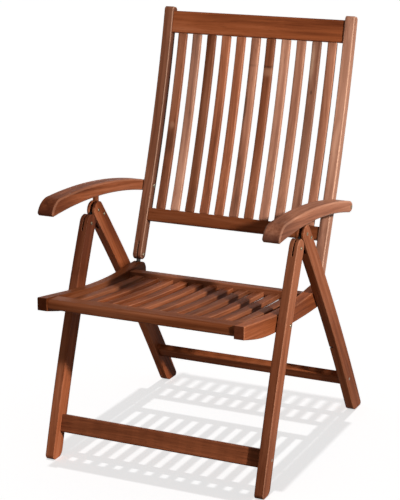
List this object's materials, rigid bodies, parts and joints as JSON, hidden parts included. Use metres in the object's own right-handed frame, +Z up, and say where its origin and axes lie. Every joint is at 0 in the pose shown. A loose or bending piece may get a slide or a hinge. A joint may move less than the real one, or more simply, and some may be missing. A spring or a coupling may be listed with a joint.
{
  "type": "folding reclining garden armchair",
  "caption": "High-backed slatted hardwood garden armchair that folds flat and reclines, its notched arms held by catches on the rear legs.",
  "frame": {"origin": "on the floor under the middle of the chair's bounding box, chair open and upright", "axes": "+X to the sitter's left, +Y to the rear, +Z up"},
  "size_m": [0.6372, 0.796, 1.0783],
  "materials": {
    "leg_wood": "oiled",
    "stretcher_wood": "oiled",
    "arm_wood": "oiled",
    "catch_wood": "oiled",
    "seat_rail_wood": "oiled",
    "seat_slat_wood": "oiled",
    "back_frame_wood": "oiled",
    "back_slat_wood": "oiled",
    "bolt_steel": "zinc plated",
    "plate_steel": "zinc plated"
  },
  "bodies": {
    "front_legs": {"front_leg_left": "leg_wood", "front_leg_right": "leg_wood", "front_stretcher": "stretcher_wood", "front_stretcher_screws": "bolt_steel", "leg_pivot_bolts": "bolt_steel", "seat_pivot_bolts": "bolt_steel", "seat_pivot_washers": "bolt_steel"},
    "rear_legs": {"arm_catch_left": "catch_wood", "arm_catch_right": "catch_wood", "leg_hinge_plate_left": "plate_steel", "leg_hinge_plate_right": "plate_steel", "leg_plate_bolts": "bolt_steel", "rear_leg_left": "leg_wood", "rear_leg_right": "leg_wood", "rear_stretcher": "stretcher_wood", "rear_stretcher_screws": "bolt_steel"},
    "seat": {"back_plate_pins": "bolt_steel", "seat_front_rail": "seat_rail_wood", "seat_guide_pegs": "bolt_steel", "seat_rear_rail": "seat_rail_wood", "seat_side_rail_left": "seat_rail_wood", "seat_side_rail_right": "seat_rail_wood", "seat_slat_01": "seat_slat_wood", "seat_slat_02": "seat_slat_wood", "seat_slat_03": "seat_slat_wood", "seat_slat_04": "seat_slat_wood", "seat_slat_05": "seat_slat_wood", "seat_slat_06": "seat_slat_wood", "seat_slat_07": "seat_slat_wood", "seat_slat_08": "seat_slat_wood", "seat_slat_09": "seat_slat_wood", "seat_slat_10": "seat_slat_wood", "seat_slat_11": "seat_slat_wood"},
    "hinge_plates": {"back_hinge_plate_left": "plate_steel", "back_hinge_plate_right": "plate_steel"},
    "back": {"arm_bolt_left": "bolt_steel", "arm_bolt_right": "bolt_steel", "back_bottom_rail": "back_frame_wood", "back_hinge_bolts": "bolt_steel", "back_slat_01": "back_slat_wood", "back_slat_02": "back_slat_wood", "back_slat_03": "back_slat_wood", "back_slat_04": "back_slat_wood", "back_slat_05": "back_slat_wood", "back_slat_06": "back_slat_wood", "back_slat_07": "back_slat_wood", "back_slat_08": "back_slat_wood", "back_slat_09": "back_slat_wood", "back_slat_10": "back_slat_wood", "back_slat_11": "back_slat_wood", "back_top_rail": "back_frame_wood", "back_upright_left": "back_frame_wood", "back_upright_right": "back_frame_wood"},
    "arm_left": {"arm_left": "arm_wood"},
    "arm_right": {"arm_right": "arm_wood"}
  },
  "joints": [
    {"name": "fold", "type": "hinge", "parent": "front_legs", "child": "rear_legs", "pos_m": [0, -0.1157, 0.567], "axis": [-1, 0, 0], "range_deg": [0, 54]},
    {"name": "seat_fold", "type": "hinge", "parent": "front_legs", "child": "seat", "pos_m": [0, -0.174, 0.38993], "axis": [-1, 0, 0], "range_deg": [0, 97.01]},
    {"name": "recline", "type": "hinge", "parent": "seat", "child": "hinge_plates", "pos_m": [0, 0.11248, 0.38793], "axis": [-1, 0, 0], "range_deg": [0, 28]},
    {"name": "back_fold", "type": "hinge", "parent": "hinge_plates", "child": "back", "pos_m": [0, 0.12248, 0.43293], "axis": [-1, 0, 0], "range_deg": [-94.01, 0]},
    {"name": "arm_fold_left", "type": "hinge", "parent": "back", "child": "arm_left", "pos_m": [0, 0.18582, 0.60888], "axis": [-1, 0, 0], "range_deg": [0, 115.01]},
    {"name": "arm_fold_right", "type": "hinge", "parent": "back", "child": "arm_right", "pos_m": [0, 0.18582, 0.60888], "axis": [-1, 0, 0], "range_deg": [0, 115.01]}
  ],
  "couplings": [
    {"joint": "seat_fold", "follows": "fold", "ratio": 1.7963},
    {"joint": "back_fold", "follows": "fold", "ratio": -1.7407},
    {"joint": "arm_fold_left", "follows": "fold", "ratio": 2.1296},
    {"joint": "arm_fold_right", "follows": "fold", "ratio": 2.1296}
  ]
}
